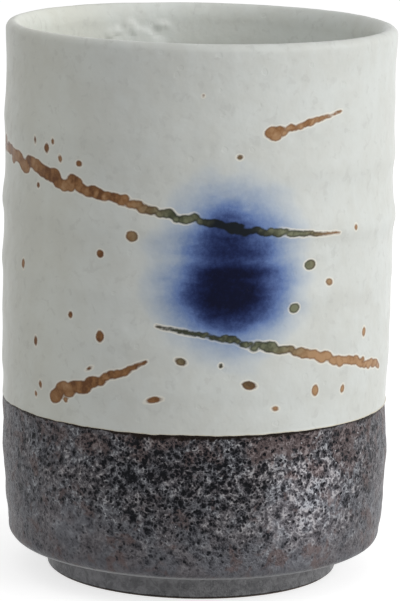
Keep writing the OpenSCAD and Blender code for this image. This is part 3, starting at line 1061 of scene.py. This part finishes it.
# Iron coat: wiped edge, foot side, gathered corner, underside, hip, wall up to the line
ironCoat = {
    "columns": 600, "crowding": 0.35, "hiddenEvery": 9,
    "edgeStep": 0.12, "footStep": 0.3, "filletStep": 0.2, "flatStep": 0.7, "hipStep": 0.25, "wallStep": 0.25,
    # Where the skin has blistered
    "wallFrom": 0.5, "wallOver": 5, "lineOver": 1.0, "offWall": 0.2,
    "pittedMean": 0.92, "pittedPatches": (0.4, 8.0, 3, 23), "pittedBySootAndShine": 0.2, "pittedByBrown": 0.4,
    "flankAround": 47, "flankHalf": 12, "flankShare": 0.3,
    "quietAround": -26, "quietHalf": 11, "quietShare": 0.7,
    "lowHeight": 9, "lowOver": 14, "lowShare": 0.4,
    # Pits and froth
    "pitCells": 1.25, "pitSeed": 29, "pitLeast": 0.2, "pitMore": 0.36, "pitsPast": 0.3, "pitDepth": 0.19,
    "pitPaint": 1.4, "froth": (0.9, 2, 31), "frothRise": 0.045, "frothPlain": 0.4, "lump": (4.0, 3, 37),
    "lumpRise": 0.04,
    # Line, and the pale edges of hip and foot, partly a painted highlight, each with its share in the middle
    # and its change to the left
    "wobbleDownTo": 5, "runAround": -2, "runHalf": 12, "runShare": 0.5,
    "hipFrom": 0.66, "hipOver": 0.22, "hipReach": 0.8, "hipPale": 0.62, "hipPaleLeft": 0.38,
    "footReach": 1.4, "footTop": 2.6, "footPale": 0.66, "footPaleLeft": 0.22,
}


def ironOutline(s):
    f, c = cupForm, coats["foot"]
    ceiling = footHeight - coats["iron"]
    fillet, hip = f["rootFillet"], f["hipRound"]
    root = float(footSide(ceiling - fillet))
    hipR = float(ironRadius(ceiling + hip)) - hip
    return chain(
        arcPoints((float(footSide(f["wipeHeight"])) - c, f["wipeHeight"] + c), c, -90, 0, s["edgeStep"]),
        wallPoints(footSide, f["wipeHeight"] + c, ceiling - fillet, s["footStep"]),
        arcPoints((root + fillet, ceiling - fillet), fillet, 180, 90, s["filletStep"]),
        straightPoints((root + fillet, ceiling), (hipR, ceiling), s["flatStep"]),
        arcPoints((hipR, ceiling + hip), hip, -90, 0, s["hipStep"]),
        wallPoints(ironRadius, ceiling + hip, lineHeight, s["wallStep"]),
    )


def pittedShare(s, around, z, base, onWall, sootAndShine, brown):
    # Noise on the wall, more in the soot and less in the brown and the painted shine, eased to lie from 0 to
    # 1; less on both flanks, on the left of the front and low down
    pitted = s["pittedMean"] + reliefOf(base, s["pittedPatches"])
    pitted = onWall * ease(pitted + s["pittedBySootAndShine"] * sootAndShine - s["pittedByBrown"] * brown)
    flanks = mix(1, s["flankShare"], bell((np.abs(around) - s["flankAround"]) / s["flankHalf"]))
    quiet = mix(1, s["quietShare"], bell((around - s["quietAround"]) / s["quietHalf"]))
    low = mix(s["lowShare"], 1, ease((z - s["lowHeight"]) / s["lowOver"]))
    return pitted * flanks * quiet * low


def paleEdgesAndHighlights(s, angle, r, height, nz, onFoot):
    # The turned edge of the hip and the top of the foot's side, paler where the glaze is thin and with a
    # painted highlight of the floor's reflection; the painted light is stronger on the left, away from the
    # lamp
    right = np.cos(angle)[None, :]
    hipStart = float(ironRadius(footHeight + cupForm["hipRound"])) - cupForm["hipRound"]
    hip = ease((-nz - s["hipFrom"]) / s["hipOver"]) * ease((r - hipStart) / s["hipReach"])
    foot = onFoot * ease(1 - (footHeight - coats["iron"] - height) / s["footTop"])
    hip = hip * (s["hipPale"] - s["hipPaleLeft"] * right)
    foot = foot * (s["footPale"] - s["footPaleLeft"] * right)
    return np.clip(hip + foot, 0, 1)


def buildIronCoat(s, material):
    # A pit is as deep as 1 less the square of the way from its point over its radius, and some cells of a
    # grid hold one; fine noise makes the froth, and broad noise the lumps
    points = ironOutline(s)
    angle = aroundAngles(s["columns"], s["crowding"])
    base = skinGrid(points, angle)
    nz = outlineNormals(points)[:, 1][:, None]
    r, z = points[:, 0][:, None], points[:, 1][:, None]
    around = aroundLength(angle)[None, :] + 0 * z
    height = z + 0 * around
    onWall = ease((z - footHeight - s["wallFrom"]) / s["wallOver"]) * ease((lineHeight - z) / s["lineOver"])
    sootAndShine = patchField(sootAndShinePatches, around, height)
    brown = patchField(brownPatches, around, height)
    pitted = pittedShare(s, around, z, base, onWall, sootAndShine, brown)
    distance, number = wallPits(around, height, s["pitCells"], s["pitSeed"])
    radius = s["pitLeast"] + s["pitMore"] * number
    pit = np.clip(1 - (distance / radius) ** 2, 0, 1) * (number > s["pitsPast"]) * pitted
    froth = fractalNoise(base, *s["froth"]) * onWall
    frothShare = s["frothPlain"] + (1 - s["frothPlain"]) * pitted
    lump = fractalNoise(base, *s["lump"])
    extra = s["frothRise"] * froth * frothShare + s["lumpRise"] * lump
    extra = extra * mix(s["offWall"], 1, onWall) - s["pitDepth"] * pit
    grid = skinGrid(points, angle, extra=extra)
    wobbling = ease(1 - (lineHeight - z) / s["wobbleDownTo"]) * (z > footHeight)
    grid[..., 2] += lineWobble(angle)[None, :] * wobbling
    grid[..., 2] -= hipSag(angle[None, :], z)
    hidden = hiddenSide(points, angle, s["hiddenEvery"], coats["foot"])
    hidden[..., 2] -= hipSag(angle[None, :], thinned(points, s["hiddenEvery"])[::-1, 1][:, None])
    hidden[..., 2] = np.minimum(hidden[..., 2], lineHeight - coats["air"])
    piece = makeSurface("ironGlazeCoat", np.concatenate([grid, hidden]), closed=True)
    onFoot = (r < cupForm["footRadius"] + s["footReach"]) * (z < footHeight) + 0 * around
    runs = 1 - s["runShare"] * bell((around - s["runAround"]) / s["runHalf"])
    paintPoints(piece, "pit", np.clip(pit * s["pitPaint"], 0, 1))
    paintPoints(piece, "pitted", pitted)
    paintPoints(piece, "sootAndShine", sootAndShine)
    paintPoints(piece, "brown", brown)
    paintPoints(piece, "belowLine", (lineHeight - height) * runs, farFromLine)
    paintPoints(piece, "foot", onFoot)
    paintPoints(piece, "paleEdgeAndHighlight", paleEdgesAndHighlights(s, angle, r, height, nz, onFoot))
    dressed(piece, material, "iron_glaze", "iron_glaze")


# Liner: inside wall, hollow corner, floor to the axis
linerCoat = {
    "columns": 360, "crowding": 0.0, "hiddenEvery": 6, "wallStep": 0.8, "floorStep": 0.6,
    "ringRise": 0.08, "ringPitch": 5.2, "ringsOver": 6, "ringsEnd": 22, "ringsEndOver": 5,
}


def linerOutline(s):
    c = cupForm["cornerRound"]
    wall = float(innerRadius(np.array(cornerHeight)))
    r = np.linspace(wall - c, cupForm["axisGap"], int((wall - c) / s["floorStep"]))
    return chain(
        wallPoints(innerRadius, wrapHeight, cornerHeight, s["wallStep"]),
        arcPoints((wall - c, cornerHeight), c, 0, -90, s["wallStep"]),
        np.stack([r, floorLevel(r)], 1),
    )


def buildLinerCoat(s, material):
    # A spiral of turning rings in the floor, a sine of radius and angle, fading to the axis and the corner
    points = linerOutline(s)
    angle = aroundAngles(s["columns"], s["crowding"])
    base = skinGrid(points, angle)
    r, z = points[:, 0][:, None], points[:, 1][:, None]
    rings = s["ringRise"] * np.sin(2 * np.pi * r / s["ringPitch"] + angle[None, :])
    rings = rings * ease(r / s["ringsOver"]) * ease((s["ringsEnd"] - r) / s["ringsEndOver"])
    grid = skinGrid(points, angle, extra=rings + insideRelief(angle[None, :], z, base))
    hidden = hiddenSide(points, angle, s["hiddenEvery"], coats["liner"])
    hidden[..., 2] = np.minimum(hidden[..., 2], wrapHeight)
    piece = makeSurface("linerGlazeCoat", np.concatenate([hidden, grid]), startPole=True, endPole=True)
    paintPoints(piece, "inside", np.ones(hidden.shape[:2]), 1.0)
    dressed(piece, material, "liner_glaze", "liner_glaze")


# Recess coat: roof of the recess with its nub, rounded corner, side down to the wiped edge
recessCoat = {
    "columns": 240, "crowding": 0.0, "hiddenEvery": 3, "roofPoints": 40, "filletStep": 0.2, "sideStep": 0.4,
    "edgeStep": 0.12, "soft": (0.03, 3.0, 3, 53),
}


def recessOutline(s):
    f, c = cupForm, coats["foot"]
    ceiling = footHeight - c
    tip = f["footRadius"] - c - f["footSwell"] - f["footTipWidth"] - c
    slope = (f["footRootWidth"] - f["footTipWidth"]) / footHeight
    root = tip - slope * footHeight
    fillet, low = f["rootFillet"], f["wipeHeight"] + c
    r = np.linspace(f["axisGap"], root - fillet, s["roofPoints"])
    return chain(
        np.stack([r, ceiling - f["nubHeight"] * ease(1 - r / f["nubRadius"])], 1),
        arcPoints((root - fillet, ceiling - fillet), fillet, 90, 0, s["filletStep"]),
        straightPoints((root + slope * fillet, ceiling - fillet), (tip - slope * low, low), s["sideStep"]),
        arcPoints((tip - slope * low + c, low), c, 180, 270, s["edgeStep"]),
    )


def buildRecessCoat(s, material):
    # Soft noise over the outline turned round the axis
    points = recessOutline(s)
    angle = aroundAngles(s["columns"], s["crowding"])
    base = skinGrid(points, angle)
    grid = skinGrid(points, angle, extra=reliefOf(base, s["soft"]))
    hidden = hiddenSide(points, angle, s["hiddenEvery"], coats["foot"])
    piece = makeSurface("recessGlazeCoat", np.concatenate([grid, hidden]), startPole=True, endPole=True)
    paintPoints(piece, "foot", np.ones(grid.shape[:2]))
    paintPoints(piece, "belowLine", np.full(grid.shape[:2], farFromLine), farFromLine)
    dressed(piece, material, "iron_glaze", "recess_glaze")


# Clay under the coats: the body from the recess round to the floor of the hollow, and the foot ring
clayForm = {
    "columns": 240, "step": 1.0, "hipStep": 0.5, "lipStep": 0.4, "roofPoints": 24, "floorPoints": 30,
    "footStep": 0.5, "edgeStep": 0.15,
}


def clayOutline(s):
    f = cupForm
    base = f["footRadius"] - coats["foot"] - f["footSwell"]
    root = base - f["footRootWidth"]
    hip = f["hipRound"] - coats["iron"]
    hipZ = footHeight + hip
    hipR = float(ironRadius(hipZ)) - coats["iron"] - hip
    corner = f["cornerRound"] + coats["liner"]
    wall = float(innerRadius(np.array(cornerHeight))) + coats["liner"]
    inside = cupHeight - f["lipSlope"]
    roof = np.linspace(f["axisGap"], root, s["roofPoints"])
    floor = np.linspace(wall - corner, f["axisGap"], s["floorPoints"])
    return chain(
        np.stack([roof, footHeight - f["nubHeight"] * ease(1 - roof / f["nubRadius"])], 1),
        straightPoints((root, footHeight), (hipR, footHeight), s["step"]),
        arcPoints((hipR, hipZ), hip, -90, 0, s["hipStep"]),
        wallPoints(lambda z: plainRadius(z) - coats["white"], hipZ, lipHeight, s["step"]),
        lipPoints(coats["white"], s["lipStep"]),
        wallPoints(lambda z: innerRadius(z) + coats["liner"], inside, cornerHeight, s["step"]),
        arcPoints((wall - corner, cornerHeight), corner, 0, -90, s["step"]),
        np.stack([floor, floorLevel(floor) - coats["liner"]], 1),
    )


def footOutline(s):
    f = cupForm
    base = f["footRadius"] - coats["foot"] - f["footSwell"]
    tip, root, e = base - f["footTipWidth"], base - f["footRootWidth"], f["footEdge"]
    side = wallPoints(lambda z: footSide(z) - coats["foot"], e, footHeight, s["footStep"])
    return chain(
        arcPoints((base - e, e), e, -90, 0, s["edgeStep"]),
        side,
        straightPoints(side[-1], (root, footHeight), s["step"]),
        straightPoints((root, footHeight), (tip, e), s["footStep"]),
        arcPoints((tip + e, e), e, 180, 270, s["edgeStep"]),
        straightPoints((tip + e, 0), (base - e, 0), s["step"])[:-1],
    )


def buildClay(s, material):
    # Both outlines turned round the axis
    angle = aroundAngles(s["columns"], 0.0)
    body = makeSurface("thrownClay", skinGrid(clayOutline(s), angle), startPole=True, endPole=True)
    dressed(body, material, "clay", "clay_body")
    foot = makeSurface("footRingClay", skinGrid(footOutline(s), angle), closed=True)
    dressed(foot, material, "clay", "foot_ring")


whiteGlaze = makeWhiteGlaze(whiteLook, True)
linerGlaze = makeWhiteGlaze(whiteLook, False)
ironGlaze = makeIronGlaze(ironLook)
bareClay = makeClay(clayLook)
print("glazes and clay mixed")

buildClay(clayForm, bareClay)
print("clay body and foot ring built")
buildWhiteCoat(whiteCoat, whiteGlaze)
print("white coat built")
buildIronCoat(ironCoat, ironGlaze)
print("iron coat built")
buildLinerCoat(linerCoat, linerGlaze)
buildRecessCoat(recessCoat, ironGlaze)
print("liner and recess coats built")

# Floor and light, in metres; the key's angle is in degrees from the front towards the right
studio = {
    "worldStrength": 0.55,
    "keyAround": 71,
    "keyAway": 0.8,
    "keyHeight": 0.36,
    "keyTarget": (0, 0, 0.05),
    "keySize": (0.9, 0.7),
    "keyPower": 4.8,
    "floorHalf": 4.0,
    "floorBelow": 0.00003,
    "floorColour": (0.6, 0.6, 0.6),
    "floorGlow": 0.7,
}


def seenRays(tree):
    # 1 for rays that the camera sees straight, mirrored or through glass, else 0
    path = nodeOf(tree, "ShaderNodeLightPath")
    seen = mathOf(tree, "MAXIMUM", path.outputs["Is Camera Ray"], path.outputs["Is Glossy Ray"])
    return mathOf(tree, "MAXIMUM", seen, path.outputs["Is Transmission Ray"])


def makeFloor(s):
    # A square just under the foot, which glows for the seen rays alone and keeps the shadow
    half, level = s["floorHalf"], -s["floorBelow"]
    corners = [(-half, -half, level), (half, -half, level), (half, half, level), (-half, half, level)]
    mesh = bpy.data.meshes.new("floor")
    mesh.from_pydata(corners, [], [(0, 1, 2, 3)])
    floor = bpy.data.objects.new("floor", mesh)
    bpy.context.scene.collection.objects.link(floor)
    material = bpy.data.materials.new("paleFloor")
    material.use_nodes = True
    tree = material.node_tree
    shader = tree.nodes["Principled BSDF"]
    shader.inputs["Base Color"].default_value = (*s["floorColour"], 1)
    shader.inputs["Roughness"].default_value = 1.0
    shader.inputs["Specular IOR Level"].default_value = 0.0
    shader.inputs["Emission Color"].default_value = (1, 1, 1, 1)
    tree.links.new(times(tree, seenRays(tree), s["floorGlow"]), shader.inputs["Emission Strength"])
    mesh.materials.append(material)


def makeWorld(s):
    # White at full strength for the seen rays, and dimmer as a light
    world = bpy.data.worlds.new("studio")
    world.use_nodes = True
    tree = world.node_tree
    strength = plus(tree, s["worldStrength"], times(tree, seenRays(tree), 1 - s["worldStrength"]))
    tree.links.new(strength, tree.nodes["Background"].inputs["Strength"])
    tree.nodes["Background"].inputs["Color"].default_value = (1, 1, 1, 1)
    bpy.context.scene.world = world


def turnedTo(right, up, back):
    # Rotation whose columns are the three directions
    return Matrix(np.stack([right, up, back], 1).tolist()).to_4x4()


def makeLamp(name, place, size, power, target):
    # An area lamp that faces its target
    light = bpy.data.lights.new(name, "AREA")
    light.shape = "RECTANGLE"
    light.size, light.size_y = size
    light.energy = power
    lamp = bpy.data.objects.new(name, light)
    back = np.array(place) - np.array(target)
    back = back / np.linalg.norm(back)
    right = np.cross([0, 0, 1], back)
    right = right / np.linalg.norm(right)
    lamp.matrix_world = Matrix.Translation(place) @ turnedTo(right, np.cross(back, right), back)
    bpy.context.scene.collection.objects.link(lamp)


def makeLamps(s):
    # One large lamp on the right, well above the cup
    a = math.radians(s["keyAround"])
    keyPlace = (s["keyAway"] * math.sin(a), -s["keyAway"] * math.cos(a), s["keyHeight"])
    makeLamp("keyLight", keyPlace, s["keySize"], s["keyPower"], s["keyTarget"])


# The photograph's view: distance and height in metres, angles in radians, lens and sensor in mm
viewPoint = {"distance": 0.64, "height": 0.17004, "yaw": 0.001, "pitch": 0.1873, "roll": 0.0203,
             "lens": 215.5, "sensor": 36}


def makeCamera(s):
    data = bpy.data.cameras.new("photoCamera")
    data.sensor_width = s["sensor"]
    data.lens = s["lens"]
    camera = bpy.data.objects.new("photoCamera", data)
    yaw, pitch, roll = s["yaw"], s["pitch"], s["roll"]
    ahead = np.array([math.sin(yaw) * math.cos(pitch), math.cos(yaw) * math.cos(pitch), -math.sin(pitch)])
    level = np.array([math.cos(yaw), -math.sin(yaw), 0])
    above = np.cross(level, ahead)
    right = math.cos(roll) * level + math.sin(roll) * above
    up = math.cos(roll) * above - math.sin(roll) * level
    camera.matrix_world = Matrix.Translation((0, -s["distance"], s["height"])) @ turnedTo(right, up, -ahead)
    bpy.context.scene.collection.objects.link(camera)
    bpy.context.scene.camera = camera


makeFloor(studio)
makeWorld(studio)
makeLamps(studio)
makeCamera(viewPoint)
bpy.context.scene.view_settings.view_transform = "Standard"
print("floor, light and camera placed")
